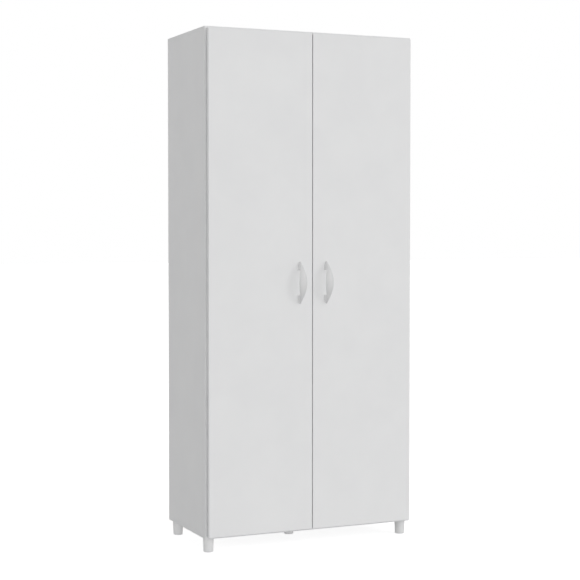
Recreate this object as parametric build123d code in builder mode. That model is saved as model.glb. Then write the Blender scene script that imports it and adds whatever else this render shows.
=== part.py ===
from build123d import *
import os

# Two-door pantry cabinet: board carcass on five legs, two hinged doors, millimetres, +Z up.
# It stands on z = 0 with its doors facing -Y and is centred on x = 0 and y = 0.
# Most pieces off the middle are made for the left half and mirrored to the right.
os.makedirs("parts", exist_ok=True)

# Carcass
cabinet_width = 800
carcass_height = 1770          # bottom panel's underside to top panel's upper face
carcass_depth = 380            # front edge to rear edge of the side panels
board = 15                     # faced particleboard
back_thickness = 3             # hardboard
back_inset = 1                 # hardboard short of the carcass edges all round
leg_height = 50

# Shelves
shelves_per_bay = 2            # loose shelves above and below the fixed one
fixed_shelf_setback = 2        # behind the carcass front edge, and ahead of its rear edge
shelf_side_clearance = 1
shelf_setback = 30             # loose shelf's front edge behind the carcass front edge
shelf_rear_gap = 4

# Doors
door_thickness = 15
door_reveal = 7                # carcass edge left showing around the two doors
door_gap = 3                   # between the two doors
door_setoff = 2.5              # between the doors and the carcass front edges

# Bow handles
handle_inset = 50              # handle's centre line from the door's inner edge
handle_length = 151
handle_hole_spacing = 128
handle_projection = 40
handle_bow_thickness = 6.5
handle_tip_height = 12         # bow's outer face above the door at either tip
handle_bow_width = 31          # widest, at the middle
handle_tip_width = 8
handle_foot_width = 12.5
handle_foot_length = 31
handle_screw_diameter = 4
handle_screw_bite = 9
handle_screw_head_diameter = 8
handle_screw_head_height = 2.4

# Legs
leg_top_diameter = 38
leg_foot_diameter = 34
leg_foot_chamfer = 1.2
leg_side_inset = 22            # leg's axis from the carcass's outer face
leg_front_inset = 31
leg_rear_inset = 36
leg_recess_diameter = 13
leg_screw_seat = 14            # plastic above the screw's head
leg_screw_diameter = 5
leg_screw_bite = 12
leg_screw_head_diameter = 10
leg_screw_head_height = 3

# Concealed cup hinges, each turning on one pin inside its cup
hinge_end_distance = 100       # outer hinges from the door's top and bottom edges
middle_hinge_rise = 100        # middle hinge above the fixed shelf
cup_diameter = 35
cup_depth = 11.5
cup_edge_distance = 3          # board left between the cup's bore and the door's edge
cup_bore_clearance = 0.1
cup_floor = 0.8
cup_flange_thickness = 1
cup_flange_diameter = 37
cup_flange_length = 60
cup_flange_width = 16
cup_screw_spacing = 48
cup_screw_offset = 6           # screws beyond the cup's centre, away from the door's edge
cup_screw_diameter = 3.5
cup_screw_bite = 11
cup_screw_head_diameter = 6.5
cup_screw_head_height = 2
cup_cavity_end = 30            # inside of the cup's slot, from the pin's axis
pin_inset = 6.2                # hinge pin's axis from the door's hinged edge
pin_depth = 8                  # hinge pin's axis in front of the door's rear face
pin_diameter = 2.5
pin_length = 14
pin_running_clearance = 0.05
knuckle_diameter = 4.2
arm_sheet = 1.5
arm_tongue_width = 8.5         # the part of the arm that reaches into the cup
arm_tongue_clearance = 0.45
arm_reach = 11.75              # middle of the arm's web from the pin's axis
arm_bend_radius = 2.75
arm_channel_width = 15
arm_channel_start = 0.5        # behind the carcass front edge
arm_length = 55                # behind the carcass front edge
plate_row = 37                 # plate screws behind the carcass front edge
plate_screw_spacing = 32
plate_length = 44
plate_width = 14
plate_base = 2
plate_rail_clearance = 0.3
plate_rail_start = 12
plate_screw_length = 10        # in the side panel
plate_screw_head_diameter = 7.5
plate_screw_head_height = 2.2
arm_screw_row = 24             # clamping screw behind the carcass front edge
arm_screw_diameter = 4
arm_screw_bite = 5
arm_screw_head_diameter = 8
arm_screw_head_height = 2.2

# Knock-down fittings
cam_diameter = 15
cam_bore_clearance = 0.1
cam_thickness = 12
cam_bore_extra = 0.5
cam_distance = 34              # cam's centre from the joint face
cam_row = 60                   # bolts from the front and rear edges
cam_slot_width = 1.6
bolt_head_room = 1             # the cam's pocket, larger than the bolt's head by this
bolt_head_diameter = 7
bolt_head_length = 3
bolt_neck_diameter = 4.8
bolt_shank_diameter = 6.6
bolt_hole_diameter = 7
bolt_thread_diameter = 6
bolt_thread_length = 10
dowel_diameter = 8
dowel_length = 30
dowel_chamfer = 0.8
dowel_in_face = 10             # the part of the dowel that stands in a board's face
dowel_hole_extra = 0.5
dowel_row = 92                 # dowels from the front and rear edges

# Shelf supports
pin_hole_pitch = 32
pin_holes_per_shelf = 5
shelf_pin_diameter = 5
shelf_pin_collar = 8
shelf_pin_collar_thickness = 1
shelf_pin_depth = 8
shelf_pin_reach = 8
front_pin_row = 60
rear_pin_row = 60

# Back fixing
strip_flange = 0.8             # joint strip between the two halves of the back
strip_web = 1
strip_width = 14
nail_diameter = 1.4
nail_length = 16
nail_head_diameter = 4
nail_head_thickness = 0.6
side_nail_spaces = 12          # equal spaces between the nails up each side
across_nail_count = 5          # nails across the top and bottom panels

# Wall brackets inside the top rear corners
bracket_spacing = 640
bracket_width = 20
bracket_leg = 30
bracket_sheet = 1.5
wall_screw_diameter = 5.5
bracket_hole_drop = 18         # wall screw below the top panel's underside
bracket_screw_back = 18        # fixing screw ahead of the hardboard
bracket_screw_diameter = 3.5
bracket_screw_bite = 11
bracket_screw_head_diameter = 7
bracket_screw_head_height = 2

# Door buffers
buffer_diameter = 7
buffer_clearance = 0.3
buffer_inset = 14              # from the door's inner edge

# Screw heads
narrow_slot = 1                # cross slots of the wood and machine screws
wide_slot = 1.2                # cross slots of the hinge plates' and arms' screws
head_rounding = 0.45           # share of a head's height that is rounded over

# Positions that follow from the sizes above
half_width = cabinet_width / 2
side_inner_x = -half_width + board
carcass_bottom_z = leg_height
carcass_top_z = leg_height + carcass_height
side_bottom_z = carcass_bottom_z + board
side_top_z = carcass_top_z - board
fixed_shelf_z = leg_height + carcass_height / 2

overall_depth = (handle_projection + door_thickness + door_setoff + carcass_depth
                 + back_thickness + strip_flange)
door_front_y = -overall_depth / 2 + handle_projection
door_rear_y = door_front_y + door_thickness
front_y = door_rear_y + door_setoff
rear_y = front_y + carcass_depth
back_outer_y = rear_y + back_thickness

door_width = half_width - door_reveal - door_gap / 2
door_bottom_z = carcass_bottom_z + door_reveal
door_top_z = carcass_top_z - door_reveal
door_edge_x = -half_width + door_reveal
door_inner_x = -door_gap / 2

pin_x = door_edge_x + pin_inset
pin_y = door_rear_y - pin_depth
cup_x = door_edge_x + cup_edge_distance + cup_diameter / 2
web_inner_x = pin_x + arm_reach - arm_sheet / 2
web_outer_x = web_inner_x + arm_sheet
hinge_heights = (
    door_bottom_z + hinge_end_distance,
    fixed_shelf_z + middle_hinge_rise,
    door_top_z - hinge_end_distance,
)


def shelf_undersides(bay_floor, bay_ceiling):
    """Heights that share a bay into equal spaces."""
    clear = (bay_ceiling - bay_floor - shelves_per_bay * board) / (shelves_per_bay + 1)
    return [bay_floor + clear + step * (clear + board) for step in range(shelves_per_bay)]


loose_shelf_heights = (
    shelf_undersides(side_bottom_z, fixed_shelf_z - board / 2)
    + shelf_undersides(fixed_shelf_z + board / 2, side_top_z)
)
shelf_pin_heights = [height - shelf_pin_diameter / 2 for height in loose_shelf_heights]


def facing(points, outward):
    """Places at the points whose Z axis is the outward direction."""
    return [Plane(origin=point, z_dir=outward).location for point in points]


def save(piece, name):
    """Label a finished piece and write it under that name."""
    piece.part.label = name
    export_step(piece.part, f"parts/{name}.step")


def save_pair(piece, left_name, right_name):
    """Write a left-hand piece and its mirror image."""
    save(piece, left_name)
    with BuildPart() as right_hand:
        mirror(piece.part, about=Plane.YZ)
    save(right_hand, right_name)


def save_both_sides(piece, name):
    """Write a left-hand group and its mirror image as one group."""
    with BuildPart() as group:
        add(piece.part)
        mirror(piece.part, about=Plane.YZ)
    save(group, name)


# ---------------------------------------------------------------- joint positions, left half
joint_rows = (front_y + cam_row, rear_y - cam_row)
dowel_rows = (front_y + dowel_row, rear_y - dowel_row)
board_middle_x = -half_width + board / 2

# Cams sit in the side panels' inner faces at the corners and under the fixed shelf's ends.
corner_cam_planes = [
    Plane(origin=(side_inner_x, y, end_z - towards * cam_distance),
          x_dir=(0, towards, 0), z_dir=(1, 0, 0))
    for y in joint_rows
    for end_z, towards in ((side_top_z, 1), (side_bottom_z, -1))
]
shelf_cam_planes = [
    Plane(origin=(side_inner_x + cam_distance, y, fixed_shelf_z - board / 2),
          x_dir=(0, -1, 0), z_dir=(0, 0, -1))
    for y in joint_rows
]
shelf_rows_z = [
    pin_z + step * pin_hole_pitch
    for pin_z in shelf_pin_heights
    for step in range(-(pin_holes_per_shelf // 2), pin_holes_per_shelf // 2 + 1)
]
plate_screw_points = [
    (side_inner_x, front_y + plate_row, hinge_z + side * plate_screw_spacing / 2)
    for hinge_z in hinge_heights
    for side in (-1, 1)
]

# ---------------------------------------------------------------- side panels
nail_heights = [
    carcass_bottom_z + board / 2 + (carcass_height - board) * step / side_nail_spaces
    for step in range(1, side_nail_spaces)
    if 2 * step != side_nail_spaces
]
side_nail_points = [(board_middle_x, back_outer_y, z) for z in nail_heights]
across_nail_xs = [
    cabinet_width * (step - (across_nail_count - 1) / 2) / across_nail_count
    for step in range(across_nail_count)
]
panel_nail_points = [
    (x, back_outer_y, z)
    for x in across_nail_xs
    for z in (carcass_top_z - board / 2, carcass_bottom_z + board / 2)
]
nail_in_board = nail_length - back_thickness

with BuildPart() as left_side_panel:
    with BuildSketch(Plane.YZ.offset(-half_width)):
        with Locations(((front_y + rear_y) / 2, (side_bottom_z + side_top_z) / 2)):
            Rectangle(carcass_depth, side_top_z - side_bottom_z)
    extrude(amount=board)
    # rows of holes for the shelf supports, and the hinge plates' screws
    pin_points = [
        (side_inner_x, y, z)
        for y in (front_y + front_pin_row, rear_y - rear_pin_row)
        for z in shelf_rows_z
    ]
    with Locations(*facing(pin_points, (1, 0, 0))):
        Hole(radius=shelf_pin_diameter / 2, depth=shelf_pin_depth)
    with Locations(*facing(plate_screw_points, (1, 0, 0))):
        Hole(radius=shelf_pin_diameter / 2, depth=plate_screw_length)
    # corner joints: cam bores, bolt holes and dowel holes in both ends
    with Locations(*[plane.location for plane in corner_cam_planes]):
        Hole(radius=cam_diameter / 2, depth=cam_thickness + cam_bore_extra)
    for end_z, towards in ((side_top_z, 1), (side_bottom_z, -1)):
        with Locations(*facing([(board_middle_x, y, end_z) for y in joint_rows], (0, 0, towards))):
            Hole(radius=bolt_hole_diameter / 2, depth=cam_distance)
        with Locations(*facing([(board_middle_x, y, end_z) for y in dowel_rows], (0, 0, towards))):
            Hole(radius=dowel_diameter / 2,
                 depth=dowel_length - dowel_in_face + dowel_hole_extra)
    # fixed shelf: bolts and dowels enter the inner face
    shelf_bolt_points = [(side_inner_x, y, fixed_shelf_z) for y in joint_rows]
    with Locations(*facing(shelf_bolt_points, (1, 0, 0))):
        Hole(radius=bolt_thread_diameter / 2, depth=bolt_thread_length)
    shelf_dowel_points = [(side_inner_x, y, fixed_shelf_z) for y in dowel_rows]
    with Locations(*facing(shelf_dowel_points, (1, 0, 0))):
        Hole(radius=dowel_diameter / 2, depth=dowel_in_face + dowel_hole_extra)
    # nails from behind
    with Locations(*facing([(x, rear_y, z) for x, _, z in side_nail_points], (0, 1, 0))):
        Hole(radius=nail_diameter / 2, depth=nail_in_board)

save_pair(left_side_panel, "left_side_panel", "right_side_panel")

# ---------------------------------------------------------------- top and bottom panels
leg_points = {
    "front_left_leg": (-half_width + leg_side_inset, front_y + leg_front_inset),
    "front_right_leg": (half_width - leg_side_inset, front_y + leg_front_inset),
    "rear_left_leg": (-half_width + leg_side_inset, rear_y - leg_rear_inset),
    "rear_right_leg": (half_width - leg_side_inset, rear_y - leg_rear_inset),
    "centre_leg": (0, (front_y + rear_y) / 2),
}
bracket_xs = (-bracket_spacing / 2, bracket_spacing / 2)
bracket_screw_y = rear_y - bracket_screw_back


def panel_blank(bottom_z):
    """A full-width panel, as sawn."""
    with BuildPart() as blank:
        with BuildSketch(Plane.XY.offset(bottom_z)):
            with Locations((0, (front_y + rear_y) / 2)):
                Rectangle(cabinet_width, carcass_depth)
        extrude(amount=board)
    return blank.part


def end_panel(bottom_z, joint_face_z, towards_side):
    """A top or bottom panel with its bolt, dowel and nail holes."""
    with BuildPart() as panel:
        add(panel_blank(bottom_z))
        for x in (board_middle_x, -board_middle_x):
            bolts = [(x, y, joint_face_z) for y in joint_rows]
            with Locations(*facing(bolts, (0, 0, towards_side))):
                Hole(radius=bolt_thread_diameter / 2, depth=bolt_thread_length)
            dowels_here = [(x, y, joint_face_z) for y in dowel_rows]
            with Locations(*facing(dowels_here, (0, 0, towards_side))):
                Hole(radius=dowel_diameter / 2, depth=dowel_in_face + dowel_hole_extra)
        nails_here = [(x, rear_y, bottom_z + board / 2) for x in across_nail_xs]
        with Locations(*facing(nails_here, (0, 1, 0))):
            Hole(radius=nail_diameter / 2, depth=nail_in_board)
    return panel.part


with BuildPart() as top_panel:
    add(end_panel(side_top_z, side_top_z, -1))
    bracket_screw_points = [(x, bracket_screw_y, side_top_z) for x in bracket_xs]
    with Locations(*facing(bracket_screw_points, (0, 0, -1))):
        Hole(radius=bracket_screw_diameter / 2, depth=bracket_screw_bite)
save(top_panel, "top_panel")

with BuildPart() as bottom_panel:
    add(end_panel(carcass_bottom_z, side_bottom_z, 1))
    leg_screw_points = [(x, y, carcass_bottom_z) for x, y in leg_points.values()]
    with Locations(*facing(leg_screw_points, (0, 0, -1))):
        Hole(radius=leg_screw_diameter / 2, depth=leg_screw_bite)
save(bottom_panel, "bottom_panel")

# ---------------------------------------------------------------- shelves
shelf_half = cabinet_width / 2 - board

with BuildPart() as fixed_shelf:
    with BuildSketch(Plane.XY.offset(fixed_shelf_z - board / 2)):
        with Locations((0, (front_y + rear_y) / 2)):
            Rectangle(2 * shelf_half, carcass_depth - 2 * fixed_shelf_setback)
    extrude(amount=board)
    with Locations(*[plane.location for plane in shelf_cam_planes]):
        Hole(radius=cam_diameter / 2, depth=cam_thickness + cam_bore_extra)
    with Locations(*facing(shelf_bolt_points, (-1, 0, 0))):
        Hole(radius=bolt_hole_diameter / 2, depth=cam_distance)
    with Locations(*facing(shelf_dowel_points, (-1, 0, 0))):
        Hole(radius=dowel_diameter / 2, depth=dowel_length - dowel_in_face + dowel_hole_extra)
    mirror(split(bisect_by=Plane.YZ, keep=Keep.BOTTOM, mode=Mode.REPLACE), about=Plane.YZ)
save(fixed_shelf, "fixed_shelf")

for number, height in enumerate(loose_shelf_heights, start=1):
    shelf_front = front_y + shelf_setback
    shelf_rear = rear_y - shelf_rear_gap
    with BuildPart() as loose_shelf:
        with BuildSketch(Plane.XY.offset(height)):
            with Locations((0, (shelf_front + shelf_rear) / 2)):
                Rectangle(2 * (shelf_half - shelf_side_clearance), shelf_rear - shelf_front)
        extrude(amount=board)
    save(loose_shelf, f"loose_shelf_{number}")

# ---------------------------------------------------------------- hardboard back and its strip
back_width = cabinet_width - 2 * back_inset


def back_panel(bottom_z, top_z):
    """Half of the back, with its nail holes and the wall screws' holes that fall on it."""
    wall_z = side_top_z - bracket_hole_drop
    with BuildPart() as half:
        with BuildSketch(Plane.XZ.offset(-rear_y)):
            with Locations((0, (bottom_z + top_z) / 2)):
                Rectangle(back_width, top_z - bottom_z)
        extrude(amount=-back_thickness)
        points = side_nail_points + [(-x, y, z) for x, y, z in side_nail_points]
        points = [point for point in points + panel_nail_points if bottom_z < point[2] < top_z]
        with Locations(*facing(points, (0, 1, 0))):
            Hole(radius=nail_diameter / 2, depth=back_thickness)
        if bottom_z < wall_z < top_z:
            with Locations(*facing([(x, back_outer_y, wall_z) for x in bracket_xs], (0, 1, 0))):
                Hole(radius=wall_screw_diameter / 2, depth=back_thickness)
    return half


save(back_panel(carcass_bottom_z + back_inset, fixed_shelf_z - strip_web / 2), "back_panel_lower")
save(back_panel(fixed_shelf_z + strip_web / 2, carcass_top_z - back_inset), "back_panel_upper")

with BuildPart() as back_joint_strip:
    with BuildSketch(Plane.YZ):
        with Locations((rear_y + back_thickness / 2, fixed_shelf_z)):
            Rectangle(back_thickness, strip_web)
        with Locations((back_outer_y + strip_flange / 2, fixed_shelf_z),
                       (rear_y - strip_flange / 2, fixed_shelf_z)):
            Rectangle(strip_flange, strip_width)
    extrude(amount=shelf_half - shelf_side_clearance, both=True)
save(back_joint_strip, "back_joint_strip")

with BuildPart() as nail:
    Cylinder(nail_diameter / 2, nail_length, align=(Align.CENTER, Align.CENTER, Align.MAX))
    Cylinder(nail_head_diameter / 2, nail_head_thickness,
             align=(Align.CENTER, Align.CENTER, Align.MIN))

with BuildPart() as back_nails:
    all_nails = side_nail_points + [(-x, y, z) for x, y, z in side_nail_points]
    with Locations(*facing(all_nails + panel_nail_points, (0, 1, 0))):
        add(nail.part)
save(back_nails, "back_nails")

# ---------------------------------------------------------------- cams, bolts and dowels
bolt_axis_depth = board / 2

with BuildPart() as cam:
    Cylinder(cam_diameter / 2 - cam_bore_clearance, cam_thickness,
             align=(Align.CENTER, Align.CENTER, Align.MAX))
    with Locations((0, cam_diameter / 4, -bolt_axis_depth)):
        Box(bolt_hole_diameter, cam_diameter / 2, bolt_hole_diameter, mode=Mode.SUBTRACT)
    with Locations((0, 0, -bolt_axis_depth)):
        pocket = bolt_head_diameter + bolt_head_room
        Box(pocket, pocket, pocket, mode=Mode.SUBTRACT)
    cross_length = cam_diameter / 2
    for slot_x, slot_y in ((cross_length, cam_slot_width), (cam_slot_width, cross_length)):
        Box(slot_x, slot_y, 2 * cam_slot_width, mode=Mode.SUBTRACT)

with BuildPart() as cam_bolt:
    with BuildSketch(Plane.YZ):
        with BuildLine():
            Polyline(
                (-bolt_head_length / 2, 0),
                (-bolt_head_length / 2, bolt_head_diameter / 2),
                (bolt_head_length / 2, bolt_head_diameter / 2),
                (bolt_head_length / 2, bolt_neck_diameter / 2),
                (cam_diameter / 2, bolt_neck_diameter / 2),
                (cam_diameter / 2, bolt_shank_diameter / 2),
                (cam_distance, bolt_shank_diameter / 2),
                (cam_distance, bolt_thread_diameter / 2),
                (cam_distance + bolt_thread_length, bolt_thread_diameter / 2),
                (cam_distance + bolt_thread_length, 0),
                close=True,
            )
        make_face()
    revolve(axis=Axis.Y)
    sunk_bolt = Pos(0, 0, -bolt_axis_depth) * cam_bolt.part

with BuildPart() as left_cam_locks:
    with Locations(*[plane.location for plane in corner_cam_planes + shelf_cam_planes]):
        add(cam.part)
save_both_sides(left_cam_locks, "cam_locks")

with BuildPart() as left_cam_bolts:
    with Locations(*[plane.location for plane in corner_cam_planes + shelf_cam_planes]):
        add(sunk_bolt)
save_both_sides(left_cam_bolts, "cam_bolts")

with BuildPart() as dowel:
    Cylinder(dowel_diameter / 2, dowel_length, align=(Align.CENTER, Align.CENTER, Align.MAX))
    chamfer(dowel.edges().filter_by(GeomType.CIRCLE), length=dowel_chamfer)

with BuildPart() as left_dowels:
    dowel_places = []
    for end_z, towards in ((side_top_z, 1), (side_bottom_z, -1)):
        tips = [(board_middle_x, y, end_z + towards * dowel_in_face) for y in dowel_rows]
        dowel_places += facing(tips, (0, 0, towards))
    tips = [(side_inner_x - dowel_in_face, y, fixed_shelf_z) for y in dowel_rows]
    dowel_places += facing(tips, (-1, 0, 0))
    with Locations(*dowel_places):
        add(dowel.part)
save_both_sides(left_dowels, "dowels")

# ---------------------------------------------------------------- shelf supports
with BuildPart() as shelf_pin:
    Cylinder(shelf_pin_diameter / 2, shelf_pin_depth,
             align=(Align.CENTER, Align.CENTER, Align.MAX))
    Cylinder(shelf_pin_diameter / 2, shelf_pin_reach,
             align=(Align.CENTER, Align.CENTER, Align.MIN))
    with BuildSketch(Plane.XY):
        Circle(shelf_pin_collar / 2)
        with Locations((0, shelf_pin_collar / 2 + shelf_pin_diameter / 2)):
            Rectangle(shelf_pin_collar, shelf_pin_collar, mode=Mode.SUBTRACT)
    extrude(amount=shelf_pin_collar_thickness)

with BuildPart() as left_shelf_pins:
    with Locations(*[
        Plane(origin=(side_inner_x, y, z), x_dir=(0, 1, 0), z_dir=(1, 0, 0)).location
        for y in (front_y + front_pin_row, rear_y - rear_pin_row)
        for z in shelf_pin_heights
    ]):
        add(shelf_pin.part)
save_both_sides(left_shelf_pins, "shelf_pins")

# ---------------------------------------------------------------- legs
with BuildPart() as leg:
    with BuildSketch(Plane.XZ):
        with BuildLine():
            Polyline(
                (0, 0),
                (leg_foot_diameter / 2 - leg_foot_chamfer, 0),
                (leg_foot_diameter / 2, leg_foot_chamfer),
                (leg_top_diameter / 2, leg_height),
                (0, leg_height),
                close=True,
            )
        make_face()
    revolve(axis=Axis.Z)
    with Locations(*facing([(0, 0, 0)], (0, 0, -1))):
        CounterBoreHole(
            radius=leg_screw_diameter / 2,
            counter_bore_radius=leg_recess_diameter / 2,
            counter_bore_depth=leg_height - leg_screw_seat,
            depth=leg_height,
        )

for leg_name, (x, y) in leg_points.items():
    with BuildPart() as placed_leg:
        with Locations((x, y, 0)):
            add(leg.part)
    save(placed_leg, leg_name)


def screw(diameter, length, head_diameter, head_height, slot):
    """A round-headed screw along Z with its head's underside at z = 0."""
    with BuildPart() as one:
        Cylinder(diameter / 2, length, align=(Align.CENTER, Align.CENTER, Align.MAX))
        Cylinder(head_diameter / 2, head_height, align=(Align.CENTER, Align.CENTER, Align.MIN))
        fillet(one.faces().sort_by(Axis.Z)[-1].edges(), radius=head_height * head_rounding)
        with Locations((0, 0, head_height)):
            for slot_x, slot_y in ((head_diameter / 2, slot), (slot, head_diameter / 2)):
                Box(slot_x, slot_y, head_height, mode=Mode.SUBTRACT)
    return one.part


def screw_group(one_screw, points, outward):
    """Copies of a screw at the points, heads outward."""
    with BuildPart() as group:
        with Locations(*facing(points, outward)):
            add(one_screw)
    return group


leg_screw = screw(leg_screw_diameter, leg_screw_seat + leg_screw_bite,
                  leg_screw_head_diameter, leg_screw_head_height, narrow_slot)
leg_seat_points = [(x, y, leg_height - leg_screw_seat) for x, y in leg_points.values()]
save(screw_group(leg_screw, leg_seat_points, (0, 0, -1)), "leg_screws")

# ---------------------------------------------------------------- wall brackets
with BuildPart() as wall_brackets:
    with BuildSketch(Plane.YZ):
        with BuildLine():
            Polyline(
                (rear_y, side_top_z),
                (rear_y - bracket_leg, side_top_z),
                (rear_y - bracket_leg, side_top_z - bracket_sheet),
                (rear_y - bracket_sheet, side_top_z - bracket_sheet),
                (rear_y - bracket_sheet, side_top_z - bracket_leg),
                (rear_y, side_top_z - bracket_leg),
                close=True,
            )
        make_face()
    bent_sheet = extrude(amount=bracket_width / 2, both=True, mode=Mode.PRIVATE)
    with Locations(*[(x, 0, 0) for x in bracket_xs]):
        add(bent_sheet)
    wall_screw_z = side_top_z - bracket_hole_drop
    with Locations(*facing([(x, rear_y, wall_screw_z) for x in bracket_xs], (0, 1, 0))):
        Hole(radius=wall_screw_diameter / 2, depth=bracket_sheet)
    with Locations(*facing(bracket_screw_points, (0, 0, 1))):
        Hole(radius=bracket_screw_diameter / 2, depth=bracket_sheet)
save(wall_brackets, "wall_brackets")

bracket_screw = screw(bracket_screw_diameter, bracket_screw_bite + bracket_sheet,
                      bracket_screw_head_diameter, bracket_screw_head_height, narrow_slot)
bracket_heads = [(x, bracket_screw_y, side_top_z - bracket_sheet) for x in bracket_xs]
save(screw_group(bracket_screw, bracket_heads, (0, 0, -1)), "bracket_screws")

# ---------------------------------------------------------------- doors
handle_x = door_inner_x - handle_inset
handle_z = fixed_shelf_z
handle_screw_points = [
    (handle_x, door_rear_y, handle_z + side * handle_hole_spacing / 2) for side in (-1, 1)
]
cup_screw_points = [
    (cup_x + cup_screw_offset, door_rear_y, hinge_z + side * cup_screw_spacing / 2)
    for hinge_z in hinge_heights
    for side in (-1, 1)
]

with BuildPart() as left_door:
    with BuildSketch(Plane.XZ.offset(-door_rear_y)):
        with Locations((door_edge_x + door_width / 2, (door_bottom_z + door_top_z) / 2)):
            Rectangle(door_width, door_top_z - door_bottom_z)
    extrude(amount=door_thickness)
    with Locations(*facing([(cup_x, door_rear_y, z) for z in hinge_heights], (0, 1, 0))):
        Hole(radius=cup_diameter / 2, depth=cup_depth)
    with Locations(*facing(cup_screw_points, (0, 1, 0))):
        Hole(radius=cup_screw_diameter / 2, depth=cup_screw_bite)
    with Locations(*facing(handle_screw_points, (0, 1, 0))):
        Hole(radius=handle_screw_diameter / 2, depth=door_thickness)
save_pair(left_door, "left_door", "right_door")

with BuildPart() as left_buffers:
    buffer_x = door_inner_x - buffer_inset
    overlap = board - door_reveal
    for buffer_z in (door_top_z - overlap / 2, door_bottom_z + overlap / 2):
        with BuildSketch(Plane.XZ.offset(-door_rear_y)):
            with Locations((buffer_x, buffer_z)):
                Circle(buffer_diameter / 2)
        extrude(amount=-(door_setoff - buffer_clearance))
save_pair(left_buffers, "left_door_buffers", "right_door_buffers")

# ---------------------------------------------------------------- bow handles
foot_end = handle_length / 2
foot_inner_z = foot_end - handle_foot_length
bow_rise = handle_projection - handle_tip_height
bow_radius = (foot_end ** 2 + bow_rise ** 2) / (2 * bow_rise)
inner_radius = bow_radius - handle_bow_thickness
bow_centre = handle_projection - bow_radius
foot_inner_height = bow_centre + (inner_radius ** 2 - foot_inner_z ** 2) ** 0.5

with BuildPart() as left_handle:
    # side view: an arched bow on two feet, drawn outward from the door's face
    side_plane = Plane(origin=(handle_x, door_front_y, handle_z), x_dir=(0, 0, 1), z_dir=(1, 0, 0))
    with BuildSketch(side_plane):
        with BuildLine():
            Polyline((foot_inner_z, 0), (foot_end, 0), (foot_end, handle_tip_height))
            ThreePointArc((foot_end, handle_tip_height), (0, handle_projection),
                          (-foot_end, handle_tip_height))
            Polyline((-foot_end, handle_tip_height), (-foot_end, 0), (-foot_inner_z, 0),
                     (-foot_inner_z, foot_inner_height))
            ThreePointArc((-foot_inner_z, foot_inner_height),
                          (0, handle_projection - handle_bow_thickness),
                          (foot_inner_z, foot_inner_height))
            Line((foot_inner_z, foot_inner_height), (foot_inner_z, 0))
        make_face()
    extrude(amount=handle_bow_width / 2, both=True)
    # front view: wide in the middle, narrow at the feet
    front_plane = Plane(origin=(handle_x, door_front_y, handle_z), x_dir=(1, 0, 0), z_dir=(0, -1, 0))
    with BuildSketch(front_plane):
        with BuildLine():
            for side in (1, -1):
                Spline((side * handle_tip_width / 2, foot_end), (side * handle_bow_width / 2, 0),
                       (side * handle_tip_width / 2, -foot_end), tangents=[(0, -1), (0, -1)])
            for end in (foot_end, -foot_end):
                Line((handle_tip_width / 2, end), (-handle_tip_width / 2, end))
        make_face()
        Rectangle(handle_foot_width, handle_length)
    extrude(amount=handle_projection, mode=Mode.INTERSECT)
    with Locations(*facing([(x, door_front_y, z) for x, _, z in handle_screw_points], (0, 1, 0))):
        Hole(radius=handle_screw_diameter / 2, depth=handle_screw_bite)
save_pair(left_handle, "left_handle", "right_handle")

handle_screw = screw(handle_screw_diameter, door_thickness + handle_screw_bite,
                     handle_screw_head_diameter, handle_screw_head_height, narrow_slot)
save_pair(screw_group(handle_screw, handle_screw_points, (0, 1, 0)),
          "left_handle_screws", "right_handle_screws")

# ---------------------------------------------------------------- hinges
cup_slot_width = arm_tongue_width + 2 * arm_tongue_clearance
cup_cavity_depth = cup_depth - cup_floor
rail_width = arm_channel_width - 2 * arm_sheet - 2 * plate_rail_clearance

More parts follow.
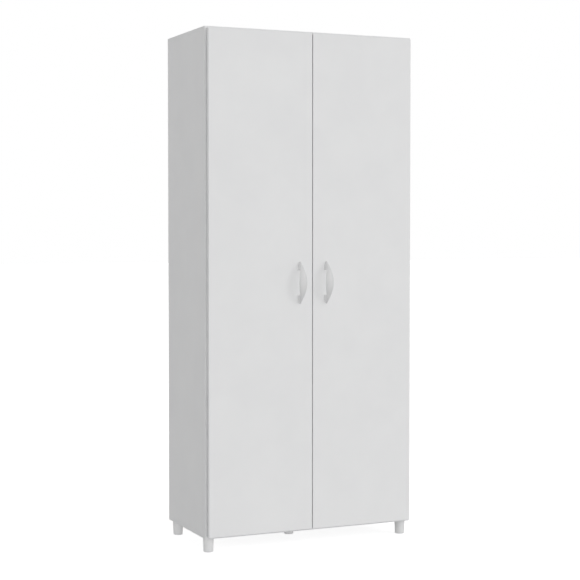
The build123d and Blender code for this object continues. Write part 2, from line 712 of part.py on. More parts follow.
for position, hinge_z in zip(("lower", "middle", "upper"), hinge_heights):
    # cup: a turned-looking casting let into the door, open towards the hinged edge
    with BuildPart() as hinge_cup:
        with BuildSketch(Plane.XZ.offset(-door_rear_y)):
            with Locations((cup_x, hinge_z)):
                Circle(cup_diameter / 2 - cup_bore_clearance)
        extrude(amount=cup_depth)
        with BuildSketch(Plane.XZ.offset(-door_rear_y)):
            with Locations((cup_x, hinge_z)):
                Circle(cup_flange_diameter / 2)
            with Locations((cup_x + cup_screw_offset, hinge_z)):
                SlotOverall(cup_flange_length, cup_flange_width, rotation=90)
        extrude(amount=-cup_flange_thickness)
        with BuildSketch(Plane.XY.offset(hinge_z)):
            slot_rear = door_rear_y + cup_flange_thickness
            slot_front = door_rear_y - cup_cavity_depth
            slot_left = door_edge_x
            slot_right = pin_x + cup_cavity_end
            with Locations(((slot_left + slot_right) / 2, (slot_front + slot_rear) / 2)):
                Rectangle(slot_right - slot_left, slot_rear - slot_front)
        extrude(amount=cup_slot_width / 2, both=True, mode=Mode.SUBTRACT)
        with BuildSketch(Plane.XY.offset(hinge_z)):
            with Locations((pin_x, pin_y)):
                Circle(pin_diameter / 2)
        extrude(amount=pin_length / 2, both=True, mode=Mode.SUBTRACT)
        here = [point for point in cup_screw_points if abs(point[2] - hinge_z) < cup_screw_spacing]
        with Locations(*facing([(x, slot_rear, z) for x, _, z in here], (0, 1, 0))):
            Hole(radius=cup_screw_diameter / 2, depth=cup_flange_thickness)
    save_pair(hinge_cup, f"left_{position}_hinge_cup", f"right_{position}_hinge_cup")

    # arm: bent sheet that hooks around the door's edge, from the pin to the mounting plate
    with BuildPart() as hinge_arm:
        floor_run_y = pin_y - knuckle_diameter / 2 + arm_sheet / 2
        with BuildSketch(Plane.XY.offset(hinge_z)):
            with BuildLine():
                FilletPolyline(
                    (pin_x, floor_run_y),
                    (pin_x + arm_reach, floor_run_y),
                    (pin_x + arm_reach, front_y + arm_channel_start + arm_sheet),
                    radius=arm_bend_radius,
                )
            trace(line_width=arm_sheet)
            with Locations((pin_x, pin_y)):
                Circle(knuckle_diameter / 2)
        extrude(amount=arm_tongue_width / 2, both=True)
        with BuildSketch(Plane.XZ.offset(-(front_y + arm_channel_start))):
            channel_height = web_outer_x - side_inner_x - plate_base
            with Locations((web_outer_x - channel_height / 2, hinge_z)):
                Rectangle(channel_height, arm_channel_width)
            with Locations((web_inner_x - channel_height / 2, hinge_z)):
                Rectangle(channel_height, arm_channel_width - 2 * arm_sheet, mode=Mode.SUBTRACT)
        extrude(amount=-(arm_length - arm_channel_start))
        with BuildSketch(Plane.XY.offset(hinge_z)):
            with Locations((pin_x, pin_y)):
                Circle(pin_diameter / 2 + pin_running_clearance)
        extrude(amount=arm_tongue_width / 2, both=True, mode=Mode.SUBTRACT)
        with Locations(*facing([(web_outer_x, front_y + arm_screw_row, hinge_z)], (1, 0, 0))):
            Hole(radius=arm_screw_diameter / 2, depth=arm_sheet)
    save_pair(hinge_arm, f"left_{position}_hinge_arm", f"right_{position}_hinge_arm")

    # mounting plate: a wing plate on the side panel with a raised rail inside the arm
    with BuildPart() as hinge_plate:
        with BuildSketch(Plane.YZ.offset(side_inner_x)):
            with Locations((front_y + plate_row, hinge_z)):
                SlotOverall(plate_length, plate_width, rotation=90)
        extrude(amount=plate_base)
        with BuildSketch(Plane.YZ.offset(side_inner_x)):
            rail_length = arm_length - plate_rail_start
            with Locations((front_y + plate_rail_start + rail_length / 2, hinge_z)):
                Rectangle(rail_length, rail_width)
        extrude(amount=web_inner_x - side_inner_x)
        here = [point for point in plate_screw_points
                if abs(point[2] - hinge_z) < plate_screw_spacing]
        with Locations(*facing([(x + plate_base, y, z) for x, y, z in here], (1, 0, 0))):
            Hole(radius=shelf_pin_diameter / 2, depth=plate_base)
        with Locations(*facing([(web_inner_x, front_y + arm_screw_row, hinge_z)], (1, 0, 0))):
            Hole(radius=arm_screw_diameter / 2, depth=arm_screw_bite)
    save_pair(hinge_plate, f"left_{position}_hinge_plate", f"right_{position}_hinge_plate")

with BuildPart() as left_hinge_pins:
    with Locations(*[(pin_x, pin_y, hinge_z) for hinge_z in hinge_heights]):
        Cylinder(pin_diameter / 2, pin_length)
save_pair(left_hinge_pins, "left_hinge_pins", "right_hinge_pins")

plate_screw = screw(shelf_pin_diameter, plate_screw_length + plate_base,
                    plate_screw_head_diameter, plate_screw_head_height, wide_slot)
plate_heads = [(x + plate_base, y, z) for x, y, z in plate_screw_points]
save_pair(screw_group(plate_screw, plate_heads, (1, 0, 0)),
          "left_plate_screws", "right_plate_screws")

arm_screw = screw(arm_screw_diameter, arm_screw_bite + arm_sheet,
                  arm_screw_head_diameter, arm_screw_head_height, wide_slot)
arm_heads = [(web_outer_x, front_y + arm_screw_row, z) for z in hinge_heights]
save_pair(screw_group(arm_screw, arm_heads, (1, 0, 0)), "left_arm_screws", "right_arm_screws")

cup_screw = screw(cup_screw_diameter, cup_screw_bite + cup_flange_thickness,
                  cup_screw_head_diameter, cup_screw_head_height, narrow_slot)
cup_heads = [(x, door_rear_y + cup_flange_thickness, z) for x, _, z in cup_screw_points]
save_pair(screw_group(cup_screw, cup_heads, (0, 1, 0)), "left_cup_screws", "right_cup_screws")
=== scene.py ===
import math

import bmesh
import bpy
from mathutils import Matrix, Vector


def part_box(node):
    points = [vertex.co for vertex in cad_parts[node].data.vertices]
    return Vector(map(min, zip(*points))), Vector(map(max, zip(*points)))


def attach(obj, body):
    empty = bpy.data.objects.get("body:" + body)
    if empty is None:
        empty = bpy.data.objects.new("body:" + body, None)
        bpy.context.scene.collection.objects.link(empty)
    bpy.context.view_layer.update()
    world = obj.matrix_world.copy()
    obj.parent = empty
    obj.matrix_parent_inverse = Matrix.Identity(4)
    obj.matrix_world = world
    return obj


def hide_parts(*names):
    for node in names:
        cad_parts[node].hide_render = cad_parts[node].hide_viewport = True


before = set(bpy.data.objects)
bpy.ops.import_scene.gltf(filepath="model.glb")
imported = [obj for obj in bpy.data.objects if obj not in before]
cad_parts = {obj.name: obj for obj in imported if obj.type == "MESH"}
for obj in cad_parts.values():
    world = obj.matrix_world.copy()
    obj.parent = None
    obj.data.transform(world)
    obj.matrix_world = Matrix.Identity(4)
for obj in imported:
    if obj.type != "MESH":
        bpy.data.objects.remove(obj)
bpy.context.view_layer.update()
MM = 0.001


# ---------------------------------------------------------------- side panels
# Two uprights of chipboard faced in white melamine, sawn to size and edge-banded all round.
# The inner faces are bored for shelf pins, hinge plates and cams; their bores show raw chip.

def start_finish(name):
    """A new material, its node tree and its shader."""
    material = bpy.data.materials.new(name)
    material.use_nodes = True
    tree = material.node_tree
    return material, tree, tree.nodes["Principled BSDF"]


def add(tree, kind, settings=None, **sockets):
    """Adds a shader node. Each keyword is an input, given a value or another node's output."""
    made = tree.nodes.new("ShaderNode" + kind)
    for name, value in (settings or {}).items():
        setattr(made, name, value)
    for name, value in sockets.items():
        socket = made.inputs[name.replace("_", " ")]
        if isinstance(value, bpy.types.NodeSocket):
            tree.links.new(value, socket)
        else:
            socket.default_value = value
    return made


def on_piece(tree, stretch=(1, 1, 1)):
    """Coordinates that stay with the piece, in metres, stretched along an axis if wanted."""
    place = add(tree, "TexCoord").outputs["Object"]
    if stretch == (1, 1, 1):
        return place
    return add(tree, "Mapping", Vector=place, Scale=stretch).outputs["Vector"]


def mottle(tree, place, size, detail=2.0, roughness=0.5):
    """Soft irregular patches of about that size in metres, from 0 to 1."""
    made = add(tree, "TexNoise", Vector=place, Scale=1 / size, Detail=detail,
               Roughness=roughness)
    return made.outputs["Fac"]


def shade(tree, amount, dark, light, start=0.3, end=0.7):
    """A colour that runs from dark to light as the amount goes from start to end."""
    ramp = add(tree, "ValToRGB", Fac=amount)
    low, high = ramp.color_ramp.elements
    low.position = start
    low.color = (*dark, 1)
    high.position = end
    high.color = (*light, 1)
    return ramp.outputs["Color"]


def between(tree, amount, low, high):
    """A number that runs from low to high as the amount crosses its middle range."""
    made = add(tree, "MapRange", Value=amount, From_Min=0.3, From_Max=0.7,
               To_Min=low, To_Max=high)
    return made.outputs["Result"]


def relief(tree, shader, height, depth, strength=1.0, over=None):
    """Raises the surface by the height pattern, depth metres at most."""
    made = add(tree, "Bump", Height=height, Distance=depth, Strength=strength)
    if over is not None:
        tree.links.new(over, made.inputs["Normal"])
    tree.links.new(made.outputs["Normal"], shader.inputs["Normal"])
    return made.outputs["Normal"]


def melamine_finish():
    """Satin white foil, pressed with a fine pearl grain."""
    material, tree, shader = start_finish("white_melamine")
    place = on_piece(tree)
    clouds = mottle(tree, place, 0.12, 3)
    pearl = mottle(tree, place, 0.0011, 2, 0.6)
    orange_peel = mottle(tree, place, 0.006, 2)
    colour = shade(tree, clouds, (0.800, 0.802, 0.806), (0.822, 0.824, 0.826))
    tree.links.new(colour, shader.inputs["Base Color"])
    tree.links.new(between(tree, pearl, 0.40, 0.50), shader.inputs["Roughness"])
    waves = relief(tree, shader, orange_peel, 0.00003, 0.25)
    relief(tree, shader, pearl, 0.00002, 0.35, waves)
    shader.inputs["Specular IOR Level"].default_value = 0.35
    return material


def edge_band_finish():
    """Extruded white banding, a touch smoother and cooler than the foil beside it."""
    material, tree, shader = start_finish("white_edge_band")
    place = on_piece(tree)
    scrape = mottle(tree, place, 0.0024, 3)
    clouds = mottle(tree, place, 0.07, 2)
    colour = shade(tree, clouds, (0.785, 0.790, 0.796), (0.812, 0.815, 0.819))
    tree.links.new(colour, shader.inputs["Base Color"])
    tree.links.new(between(tree, scrape, 0.30, 0.42), shader.inputs["Roughness"])
    relief(tree, shader, scrape, 0.00002, 0.3)
    shader.inputs["Specular IOR Level"].default_value = 0.4
    return material


def raw_chip_finish():
    """Chipboard's core where a bore cuts it: pale tan chips with dark gaps between."""
    material, tree, shader = start_finish("raw_chipboard")
    place = on_piece(tree)
    chips = add(tree, "TexVoronoi", Vector=place, Scale=650).outputs["Color"]
    tone = add(tree, "RGBToBW", Color=chips).outputs["Val"]
    dust = mottle(tree, place, 0.0006, 2)
    colour = shade(tree, tone, (0.33, 0.21, 0.11), (0.62, 0.46, 0.28), 0.2, 0.8)
    tree.links.new(colour, shader.inputs["Base Color"])
    tree.links.new(between(tree, dust, 0.75, 0.95), shader.inputs["Roughness"])
    relief(tree, shader, tone, 0.0002, 0.6)
    return material


melamine = melamine_finish()
edge_band = edge_band_finish()
raw_chip = raw_chip_finish()
CURVED = (math.radians(1), math.radians(40))   # folds in this range belong to one curved face


def cad_shape(node):
    """An editable copy of a CAD piece with its shared corners joined and flat faces whole."""
    shape = bmesh.new()
    shape.from_mesh(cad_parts[node].data)
    bmesh.ops.remove_doubles(shape, verts=shape.verts, dist=0.001 * MM)
    bmesh.ops.dissolve_limit(shape, angle_limit=CURVED[0], verts=shape.verts,
                             edges=shape.edges)
    for face in shape.faces:
        face.smooth = any(CURVED[0] < edge.calc_face_angle(0) < CURVED[1]
                          for edge in face.edges)
    return shape


def break_edges(shape, edges, width, segments):
    """Rounds the edges given and returns the new faces."""
    made = bmesh.ops.bevel(shape, geom=edges, offset=width, segments=segments,
                           affect="EDGES", profile=0.5, clamp_overlap=True)
    for face in made["faces"]:
        face.smooth = True
    return set(made["faces"])


def finished(shape, name, finishes):
    """Turns the shape into an object with those finishes, its real corners kept crisp."""
    for edge in shape.edges:
        edge.smooth = edge.calc_face_angle(0) < CURVED[1]
    mesh = bpy.data.meshes.new(name)
    shape.to_mesh(mesh)
    shape.free()
    for finish in finishes:
        mesh.materials.append(finish)
    piece = bpy.data.objects.new(name, mesh)
    bpy.context.scene.collection.objects.link(piece)
    return piece


def cut_board(node, arris, low_face, high_face, band, core):
    """A board from its CAD piece: arrises eased, faces, edges and bores each in their finish."""
    low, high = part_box(node)
    across = min(range(3), key=lambda axis: high[axis] - low[axis])
    shape = cad_shape(node)
    near = 0.01 * MM
    square_on = 0.999

    def outer_side(point, axis):
        if abs(point[axis] - low[axis]) < near:
            return -1
        return 1 if abs(point[axis] - high[axis]) < near else 0

    corners = [
        edge for edge in shape.edges
        if sum(outer_side(edge.verts[0].co, axis) != 0
               and outer_side(edge.verts[0].co, axis) == outer_side(edge.verts[1].co, axis)
               for axis in range(3)) == 2
    ]
    eased = break_edges(shape, corners, arris, 3)
    for face in shape.faces:
        centre = face.calc_center_median()
        flat_axis = max(range(3), key=lambda axis: abs(face.normal[axis]))
        side = outer_side(centre, flat_axis) if abs(face.normal[flat_axis]) > square_on else 0
        if face in eased or (side and flat_axis != across):
            face.material_index = 2
        elif side:
            face.material_index = 0 if side < 0 else 1
        else:
            face.material_index = 3
    return finished(shape, node + "_board", (low_face, high_face, band, core))


panel_arris = 0.5 * MM
for side_node in ("left_side_panel", "right_side_panel"):
    piece = cut_board(side_node, panel_arris, melamine, melamine, edge_band, raw_chip)
    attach(piece, "carcass")
    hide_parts(side_node)


# ---------------------------------------------------------------- top and bottom panels
# The same board at full width, laid over and under the uprights, so their banded ends
# show as thin bands along the cabinet's sides.

for end_node in ("top_panel", "bottom_panel"):
    piece = cut_board(end_node, panel_arris, melamine, melamine, edge_band, raw_chip)
    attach(piece, "carcass")
    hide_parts(end_node)


# ---------------------------------------------------------------- cams, bolts and dowels
# Die-cast zinc cams turn in bores in the boards and pull on the heads of steel bolts.
# Beech dowels beside them keep the boards in line. Only the cams' faces show.

def zinc_finish():
    """Dull grey casting with a faintly grained skin."""
    material, tree, shader = start_finish("cast_zinc")
    place = on_piece(tree)
    skin = mottle(tree, place, 0.0007, 3, 0.6)
    stain = mottle(tree, place, 0.005, 2)
    colour = shade(tree, stain, (0.50, 0.51, 0.52), (0.64, 0.65, 0.66))
    tree.links.new(colour, shader.inputs["Base Color"])
    tree.links.new(between(tree, skin, 0.38, 0.55), shader.inputs["Roughness"])
    relief(tree, shader, skin, 0.00004, 0.5)
    shader.inputs["Metallic"].default_value = 0.9
    return material


def plated_finish():
    """Bright zinc-plated steel, slightly streaked by the tumbling barrel."""
    material, tree, shader = start_finish("plated_screw_steel")
    place = on_piece(tree)
    streaks = mottle(tree, place, 0.0012, 2)
    colour = shade(tree, streaks, (0.54, 0.545, 0.55), (0.66, 0.66, 0.655))
    tree.links.new(colour, shader.inputs["Base Color"])
    tree.links.new(between(tree, streaks, 0.24, 0.36), shader.inputs["Roughness"])
    relief(tree, shader, streaks, 0.00001, 0.4)
    shader.inputs["Metallic"].default_value = 1.0
    return material


def beech_finish():
    """Pale pink-brown beech with short dark flecks along the grain."""
    material, tree, shader = start_finish("beech_dowel")
    grain = mottle(tree, on_piece(tree, (1, 1, 0.15)), 0.0006, 3, 0.6)
    colour = shade(tree, grain, (0.52, 0.34, 0.20), (0.72, 0.54, 0.36))
    tree.links.new(colour, shader.inputs["Base Color"])
    tree.links.new(between(tree, grain, 0.6, 0.8), shader.inputs["Roughness"])
    relief(tree, shader, grain, 0.00005, 0.5)
    return material


def dress(node, finish):
    """Gives a CAD piece whose shape already serves its finish."""
    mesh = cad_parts[node].data
    mesh.materials.clear()
    mesh.materials.append(finish)


def softened(node, width, finish, segments=2):
    """A copy of a CAD piece with its sharp edges broken, as moulds, dies and plating leave them."""
    shape = cad_shape(node)
    sharp = [edge for edge in shape.edges if edge.calc_face_angle(0) > CURVED[1]]
    break_edges(shape, sharp, width, segments)
    return finished(shape, node + "_finished", (finish,))


cam_edge = 0.2 * MM
plated_steel = plated_finish()
cams = softened("cam_locks", cam_edge, zinc_finish())
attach(cams, "carcass")
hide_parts("cam_locks")
dress("cam_bolts", plated_steel)
dress("dowels", beech_finish())


# ---------------------------------------------------------------- shelves
# One fixed shelf at half height ties the uprights together. Four loose ones rest on
# nickel-plated pins pushed into the rows of bores. All are the same banded board.

def nickel_finish():
    """Warm satin nickel over stamped steel."""
    material, tree, shader = start_finish("satin_nickel")
    place = on_piece(tree)
    brushed = mottle(tree, on_piece(tree, (1, 0.12, 1)), 0.0005, 2)
    bloom = mottle(tree, place, 0.006, 2)
    colour = shade(tree, bloom, (0.60, 0.585, 0.55), (0.70, 0.685, 0.655))
    tree.links.new(colour, shader.inputs["Base Color"])
    tree.links.new(between(tree, brushed, 0.22, 0.34), shader.inputs["Roughness"])
    relief(tree, shader, brushed, 0.00001, 0.4)
    shader.inputs["Metallic"].default_value = 1.0
    return material


for shelf_node in ("fixed_shelf", "loose_shelf_1", "loose_shelf_2", "loose_shelf_3",
                   "loose_shelf_4"):
    piece = cut_board(shelf_node, panel_arris, melamine, melamine, edge_band, raw_chip)
    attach(piece, "carcass")
    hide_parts(shelf_node)

pin_edge = 0.15 * MM
nickel = nickel_finish()
pins = softened("shelf_pins", pin_edge, nickel)
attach(pins, "carcass")
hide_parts("shelf_pins")


# ---------------------------------------------------------------- hardboard back
# Two sheets of 3 mm hardboard, lacquered white inside and left brown outside, meet in
# an H-shaped white plastic strip behind the fixed shelf. Steel nails hold them on.

def lacquer_finish():
    """Thin white lacquer, so the board's fibres still show faintly."""
    material, tree, shader = start_finish("white_lacquered_hardboard")
    place = on_piece(tree)
    fibres = mottle(tree, place, 0.0016, 4, 0.65)
    patches = mottle(tree, place, 0.08, 3)
    colour = shade(tree, patches, (0.765, 0.765, 0.755), (0.795, 0.795, 0.788))
    tree.links.new(colour, shader.inputs["Base Color"])
    tree.links.new(between(tree, fibres, 0.42, 0.56), shader.inputs["Roughness"])
    relief(tree, shader, fibres, 0.00003, 0.4)
    return material


def hardboard_finish():
    """Pressed brown fibre with the faint lattice of the press screen."""
    material, tree, shader = start_finish("brown_hardboard")
    place = on_piece(tree)
    fibres = mottle(tree, place, 0.0022, 5, 0.7)
    patches = mottle(tree, place, 0.11, 4, 0.6)
    blend = add(tree, "Mix", {"data_type": "FLOAT"}, Factor=0.55)
    tree.links.new(fibres, blend.inputs[2])
    tree.links.new(patches, blend.inputs[3])
    colour = shade(tree, blend.outputs[0], (0.29, 0.178, 0.102), (0.39, 0.255, 0.155), 0.35, 0.68)
    tree.links.new(colour, shader.inputs["Base Color"])
    tree.links.new(between(tree, fibres, 0.62, 0.82), shader.inputs["Roughness"])
    lattice = add(tree, "TexVoronoi", {"distance": "CHEBYCHEV"}, Vector=place,
                  Scale=520, Randomness=0.12).outputs["Distance"]
    ribs = relief(tree, shader, lattice, 0.00012, 0.35)
    relief(tree, shader, fibres, 0.00006, 0.4, ribs)
    return material


def moulded_finish():
    """Matt white plastic with the fine spark-eroded grain of its mould."""
    material, tree, shader = start_finish("moulded_white_plastic")
    place = on_piece(tree)
    grain = mottle(tree, place, 0.0005, 2, 0.6)
    flow = mottle(tree, place, 0.018, 2)
    colour = shade(tree, flow, (0.76, 0.765, 0.77), (0.80, 0.80, 0.80))
    tree.links.new(colour, shader.inputs["Base Color"])
    tree.links.new(between(tree, grain, 0.46, 0.60), shader.inputs["Roughness"])
    relief(tree, shader, grain, 0.00003, 0.5)
    return material


back_arris = 0.2 * MM
strip_edge = 0.25 * MM
lacquer = lacquer_finish()
hardboard = hardboard_finish()
for back_node in ("back_panel_lower", "back_panel_upper"):
    piece = cut_board(back_node, back_arris, lacquer, hardboard, hardboard, hardboard)
    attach(piece, "carcass")
    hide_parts(back_node)

white_plastic = moulded_finish()
strip = softened("back_joint_strip", strip_edge, white_plastic)
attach(strip, "carcass")
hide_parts("back_joint_strip")
dress("back_nails", plated_steel)


# ---------------------------------------------------------------- legs
# Five short tapered legs moulded in white plastic, hollow from below, each held by one
# screw driven up its middle into the bottom panel.

leg_edge = 0.5 * MM
for leg_node in ("front_left_leg", "front_right_leg", "rear_left_leg", "rear_right_leg",
                 "centre_leg"):
    piece = softened(leg_node, leg_edge, white_plastic, 3)
    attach(piece, "carcass")
    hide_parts(leg_node)
dress("leg_screws", plated_steel)


# ---------------------------------------------------------------- wall brackets
# Two angles of galvanised sheet under the top panel, at the back. Each is screwed to the
# panel and takes a wall screw through the back.

def galvanised_finish():
    """Spangled zinc on folded sheet."""
    material, tree, shader = start_finish("galvanised_sheet")
    place = on_piece(tree)
    spangle = add(tree, "TexVoronoi", Vector=place, Scale=260).outputs["Color"]
    tone = add(tree, "RGBToBW", Color=spangle).outputs["Val"]
    colour = shade(tree, tone, (0.50, 0.52, 0.54), (0.66, 0.68, 0.70), 0.2, 0.8)
    tree.links.new(colour, shader.inputs["Base Color"])
    tree.links.new(between(tree, tone, 0.34, 0.50), shader.inputs["Roughness"])
    relief(tree, shader, tone, 0.00001, 0.3)
    shader.inputs["Metallic"].default_value = 1.0
    return material


bracket_edge = 0.25 * MM
brackets = softened("wall_brackets", bracket_edge, galvanised_finish())
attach(brackets, "carcass")
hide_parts("wall_brackets")
dress("bracket_screws", plated_steel)


# ---------------------------------------------------------------- doors
# Two plain slab doors of the same board, banded on all four edges with the banding's
# corners rounded. A clear urethane dot near each inner corner meets the carcass softly.

door_arris = 0.9 * MM
for body, door_node in (("left_door", "left_door"), ("right_door", "right_door")):
    piece = cut_board(door_node, door_arris, melamine, melamine, edge_band, raw_chip)
    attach(piece, body)
    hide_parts(door_node)


def urethane_finish():
    """Soft clear plastic, a little cloudy."""
    material, tree, shader = start_finish("clear_urethane")
    haze = mottle(tree, on_piece(tree), 0.0012, 2)
    colour = shade(tree, haze, (0.70, 0.70, 0.69), (0.80, 0.80, 0.79))
    tree.links.new(colour, shader.inputs["Base Color"])
    tree.links.new(between(tree, haze, 0.16, 0.26), shader.inputs["Roughness"])
    relief(tree, shader, haze, 0.00002, 0.2)
    shader.inputs["Transmission Weight"].default_value = 0.5
    return material


dot_fullness = 0.6               # under 1 keeps the dome's sides steep and its top flat


def buffer_dots(node):
    """Domed dots where the CAD discs are: one at the door's top, one at its bottom."""
    low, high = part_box(node)
    radius = (high.x - low.x) / 2
    rise = high.y - low.y
    rings = 8
    around = 32
    shape = bmesh.new()
    for centre_z in (low.z + radius, high.z - radius):
        loops = []
        for ring in range(rings):
            turn = math.pi / 2 * ring / rings
            reach = radius * math.cos(turn) ** dot_fullness
            height = rise * math.sin(turn)
            loops.append([
                shape.verts.new(((low.x + high.x) / 2 + reach * math.cos(step * math.tau / around),
                                 low.y + height,
                                 centre_z + reach * math.sin(step * math.tau / around)))
                for step in range(around)
            ])
        peak = shape.verts.new(((low.x + high.x) / 2, high.y, centre_z))
        for below, above in zip(loops, loops[1:]):
            for step in range(around):
                after = (step + 1) % around
                shape.faces.new((below[step], above[step], above[after], below[after]))
        for step in range(around):
            shape.faces.new((loops[-1][step], peak, loops[-1][(step + 1) % around]))
        shape.faces.new(loops[0])
    bmesh.ops.recalc_face_normals(shape, faces=shape.faces)
    for face in shape.faces:
        face.smooth = len(face.verts) < around
    return finished(shape, node + "_dots", (clear_urethane,))


clear_urethane = urethane_finish()
for body, dots_node in (("left_door", "left_door_buffers"), ("right_door", "right_door_buffers")):
    piece = buffer_dots(dots_node)
    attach(piece, body)
    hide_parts(dots_node)


# ---------------------------------------------------------------- hinges
# Three concealed cup hinges to a door. The cup is let into the door and turns with it;
# the hooked arm and its wing plate stay on the upright. A steel pin joins them.

hinge_edge = 0.18 * MM
for side in ("left", "right"):
    for level in ("lower", "middle", "upper"):
        for part, body in (("cup", side + "_door"), ("arm", "carcass"), ("plate", "carcass")):
            hinge_node = f"{side}_{level}_hinge_{part}"
            piece = softened(hinge_node, hinge_edge, nickel)
            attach(piece, body)
            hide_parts(hinge_node)
    for screws_node in ("hinge_pins", "cup_screws", "arm_screws", "plate_screws"):
        dress(f"{side}_{screws_node}", plated_steel)


# ---------------------------------------------------------------- bow handles
# A moulded plastic bow on two feet, one on each door beside the centre gap. The bow is
# widest and highest in the middle, rounded across its front, and runs to a narrow tip
# past each foot. Screws through the door hold the feet.

def handle_finish():
    """Off-white plastic with a soft gloss."""
    material, tree, shader = start_finish("handle_plastic")
    place = on_piece(tree)
    flow = mottle(tree, place, 0.03, 2)
    skin = mottle(tree, place, 0.0009, 2)
    colour = shade(tree, flow, (0.665, 0.668, 0.672), (0.695, 0.695, 0.695))
    tree.links.new(colour, shader.inputs["Base Color"])
    tree.links.new(between(tree, skin, 0.30, 0.38), shader.inputs["Roughness"])
    relief(tree, shader, skin, 0.00001, 0.3)
    return material


bow_half_length = 75.5 * MM
bow_tip_width = 4 * MM
bow_middle_width = 31 * MM
bow_fullness = 1.5               # how quickly the bow narrows away from its middle
bow_edge_height = 34 * MM        # widest line of the bow above the door, at the middle
bow_arch_radius = 119 * MM
bow_crown = 5.9 * MM             # rounding of the front above the widest line
bow_back = 1.6 * MM              # back of the bow below the widest line
tip_crown = 0.35                 # share of the crown left where the bow runs out
tip_back = 0.6                   # share of the back left there
foot_width = 12.7 * MM
foot_inner = 44.5 * MM           # foot's near face from the handle's middle
foot_least = 3 * MM              # foot's least length along the handle
foot_sunk = 0.8 * MM             # foot's root carried past the door's face
foot_below_line = 1 * MM         # foot's top under the bow's widest line
foot_short_of_tip = 1.5 * MM
foot_short_of_line = 1.2 * MM
foot_past_bow = 1.5 * MM         # foot wider than a narrow bow above it by this
foot_taper = 0.22                # share of its width a foot loses on the way up
foot_nose = 0.35                 # share it loses towards the bow's tip
handle_voxel = 0.75 * MM


def bow_width(along):
    """Width of the bow at a distance from its middle."""
    return bow_tip_width + (bow_middle_width - bow_tip_width) * max(
        0, 1 - (along / bow_half_length) ** 2) ** bow_fullness


def bow_line(along):
    """Height of the bow's widest line above the door."""
    return bow_edge_height - bow_arch_radius + math.sqrt(bow_arch_radius ** 2 - along ** 2)


def bow_reach(height):
    """Distance from the middle at which the widest line comes down to that height."""
    return math.sqrt(bow_arch_radius ** 2 - (height - bow_edge_height + bow_arch_radius) ** 2)


def skin_over(shape, loops):
    """Closes a row of equal loops into a skin with capped ends."""
    for one, two in zip(loops, loops[1:]):
        for step in range(len(one)):
            after = (step + 1) % len(one)
            shape.faces.new((one[step], one[after], two[after], two[step]))
    shape.faces.new(loops[0])
    shape.faces.new(loops[-1][::-1])


def handle_blank(middle):
    """Bow and feet as overlapping closed skins, before they are fused."""
    shape = bmesh.new()
    stations = 61
    around = 28
    bow = []
    for station in range(stations):
        along = bow_half_length * (2 * station / (stations - 1) - 1)
        half = bow_width(along) / 2
        crown = bow_crown * (tip_crown + (1 - tip_crown) * half * 2 / bow_middle_width)
        back = bow_back * (tip_back + (1 - tip_back) * half * 2 / bow_middle_width)
        ring = []
        for step in range(around):
            turn = math.tau * step / around
            rise = math.sin(turn)
            height = crown * rise if rise > 0 else back * rise
            ring.append(shape.verts.new((
                middle.x + half * math.cos(turn),
                middle.y - bow_line(along) - height,
                middle.z + along,
            )))
        bow.append(ring)
    skin_over(shape, bow)
    levels = 9
    for end in (1, -1):
        foot = []
        for level in range(levels):
            top = bow_line(foot_inner) - foot_below_line
            height = -foot_sunk + (top + foot_sunk) * level / (levels - 1)
            under_bow = bow_reach(max(height, bow_line(bow_half_length)))
            outer = min(bow_half_length - foot_short_of_tip, under_bow - foot_short_of_line)
            outer = max(outer, foot_inner + foot_least)
            ring = []
            stops = 9
            for side in (1, -1):
                order = range(stops) if side > 0 else range(stops - 1, -1, -1)
                for stop in order:
                    share = stop / (stops - 1)
                    along = foot_inner + (outer - foot_inner) * share
                    half = min(foot_width, bow_width(along) + foot_past_bow) / 2
                    half *= 1 - foot_taper * max(height, 0) / top
                    half *= 1 - foot_nose * share ** 6
                    ring.append(shape.verts.new((
                        middle.x + side * half,
                        middle.y - height,
                        middle.z + end * along,
                    )))
            foot.append(ring)
        skin_over(shape, foot)
    bmesh.ops.recalc_face_normals(shape, faces=shape.faces)
    return shape


def fused(shape, name, voxel, finish):
    """Fuses the skins into one, with the small fillets a mould leaves where they meet."""
    rough = finished(shape, name + "_blank", (finish,))
    fuse = rough.modifiers.new("fuse", "REMESH")
    fuse.mode = "VOXEL"
    fuse.voxel_size = voxel
    fillet = rough.modifiers.new("fillet", "SMOOTH")
    fillet.factor = 0.5
    fillet.iterations = 5
    settled = rough.evaluated_get(bpy.context.evaluated_depsgraph_get())
    mesh = bpy.data.meshes.new_from_object(settled)
    mesh.name = name
    bpy.data.objects.remove(rough)
    mesh.shade_smooth()
    mesh.materials.clear()
    mesh.materials.append(finish)
    piece = bpy.data.objects.new(name, mesh)
    bpy.context.scene.collection.objects.link(piece)
    return piece


handle_plastic = handle_finish()
for body, handle_node in (("left_door", "left_handle"), ("right_door", "right_handle")):
    low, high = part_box(handle_node)
    middle = Vector(((low.x + high.x) / 2, high.y, (low.z + high.z) / 2))
    piece = fused(handle_blank(middle), handle_node + "_bow", handle_voxel, handle_plastic)
    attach(piece, body)
    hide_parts(handle_node)
    dress(handle_node + "_screws", plated_steel)


# ---------------------------------------------------------------- camera
# A long lens to the left of the cabinet, at chest height and tipped down slightly, so that
# the doors and the left side both show.

camera_data = bpy.data.cameras.new("camera")
camera_data.lens = 89.28
camera_data.sensor_width = 36
camera_data.shift_y = -0.0231
camera_data.clip_end = 60
camera_back = 4.616              # in front of the doors
camera_left = 2.1549             # to the left of the cabinet's middle
camera_rise = 1.125
camera_tip = math.radians(1.901)
camera_turn = math.radians(24.124)   # towards the cabinet's right
camera = bpy.data.objects.new("camera", camera_data)
camera.location = (-camera_left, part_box("left_door")[0].y - camera_back, camera_rise)
camera.rotation_euler = (math.pi / 2 - camera_tip, 0, -camera_turn)
bpy.context.scene.collection.objects.link(camera)
bpy.context.scene.camera = camera


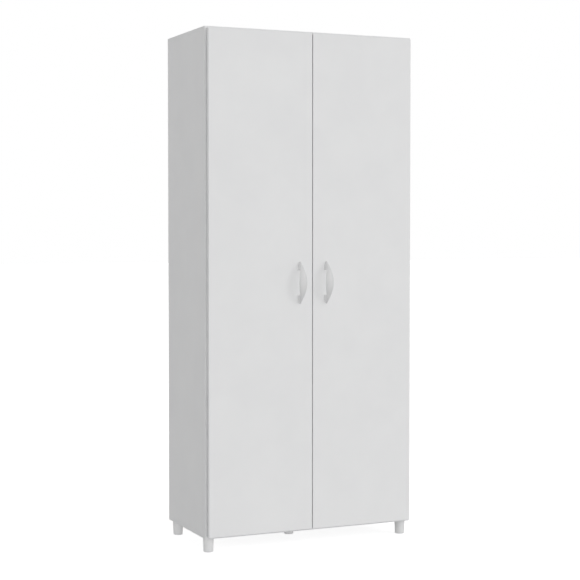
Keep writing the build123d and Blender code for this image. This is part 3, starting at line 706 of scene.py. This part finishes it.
# ---------------------------------------------------------------- floor and light
# A plain pale studio floor under even light that is brighter towards the front right. One
# weak key gives the handles shape; three very broad fills light the front, left and back.

def floor_finish():
    """Matt pale paper, lit nearly to white."""
    material, tree, shader = start_finish("studio_paper")
    place = on_piece(tree)
    pulp = mottle(tree, place, 0.02, 3)
    colour = shade(tree, pulp, (0.84, 0.84, 0.84), (0.86, 0.86, 0.86))
    tree.links.new(colour, shader.inputs["Base Color"])
    tree.links.new(between(tree, pulp, 0.85, 0.95), shader.inputs["Roughness"])
    shader.inputs["Specular IOR Level"].default_value = 0
    shader.inputs["Emission Color"].default_value = (1, 1, 1, 1)
    shader.inputs["Emission Strength"].default_value = 0.62
    return material


floor_half = 40
floor_drop = 0.5 * MM            # under the feet, so that the two don't share a plane
floor_shape = bmesh.new()
floor_corners = ((-1, -1), (1, -1), (1, 1), (-1, 1))
floor_shape.faces.new([
    floor_shape.verts.new((floor_half * x, floor_half * y, -floor_drop)) for x, y in floor_corners
])
floor = finished(floor_shape, "studio_floor", (floor_finish(),))
floor.visible_diffuse = False
floor.visible_glossy = False
floor.visible_shadow = False

room_level = 0.42
room_slope = 0.20                # brighter by this much on the key's side, darker opposite
backdrop_level = 1.0             # the room as the camera sees it

room = bpy.data.worlds.new("studio")
room.use_nodes = True
room_tree = room.node_tree
surround = room_tree.nodes["Background"]
surround.inputs["Color"].default_value = (1, 1, 1, 1)
seen = add(room_tree, "LightPath").outputs["Is Camera Ray"]
direction = add(room_tree, "TexCoord").outputs["Generated"]
brighter_side = Vector((1, -1, 0.3)).normalized()
facing_key = add(room_tree, "VectorMath", {"operation": "DOT_PRODUCT"})
room_tree.links.new(direction, facing_key.inputs[0])
facing_key.inputs[1].default_value = brighter_side
ambient = add(room_tree, "MapRange", Value=facing_key.outputs["Value"], From_Min=-1.0,
              From_Max=1.0, To_Min=room_level - room_slope, To_Max=room_level + room_slope)
shown = add(room_tree, "Mix", {"data_type": "FLOAT"})
room_tree.links.new(seen, shown.inputs[0])
room_tree.links.new(ambient.outputs["Result"], shown.inputs[2])
shown.inputs[3].default_value = backdrop_level
room_tree.links.new(shown.outputs[0], surround.inputs["Strength"])
bpy.context.scene.world = room

# The slim bows would cast heavier shade than broad bounced light lets them, so the fills
# pass them by.
slim_pieces = bpy.data.collections.new("slim_pieces")
for handle_name in ("left_handle_bow", "right_handle_bow"):
    slim_pieces.objects.link(bpy.data.objects[handle_name])
for entry in slim_pieces.collection_objects:
    entry.light_linking.link_state = "EXCLUDE"


def soft_sun(name, strength, turn, rise, spread):
    """A broad even light from that many degrees right of the doors and above the floor."""
    data = bpy.data.lights.new(name, "SUN")
    data.energy = strength
    data.angle = math.radians(spread)
    lamp = bpy.data.objects.new(name, data)
    turn = math.radians(turn)
    rise = math.radians(rise)
    source = Vector((math.sin(turn) * math.cos(rise), -math.cos(turn) * math.cos(rise),
                     math.sin(rise)))
    lamp.rotation_euler = source.to_track_quat("Z", "Y").to_euler()
    bpy.context.scene.collection.objects.link(lamp)
    return lamp


soft_sun("key", strength=0.28, turn=45, rise=18, spread=24)
for name, strength, turn in (("front_fill", 0.745, 30), ("side_fill", 1.00, -75),
                             ("rear_fill", 1.00, 162)):
    fill = soft_sun(name, strength, turn, rise=10, spread=60)
    fill.light_linking.blocker_collection = slim_pieces

bpy.context.scene.view_settings.view_transform = "Standard"
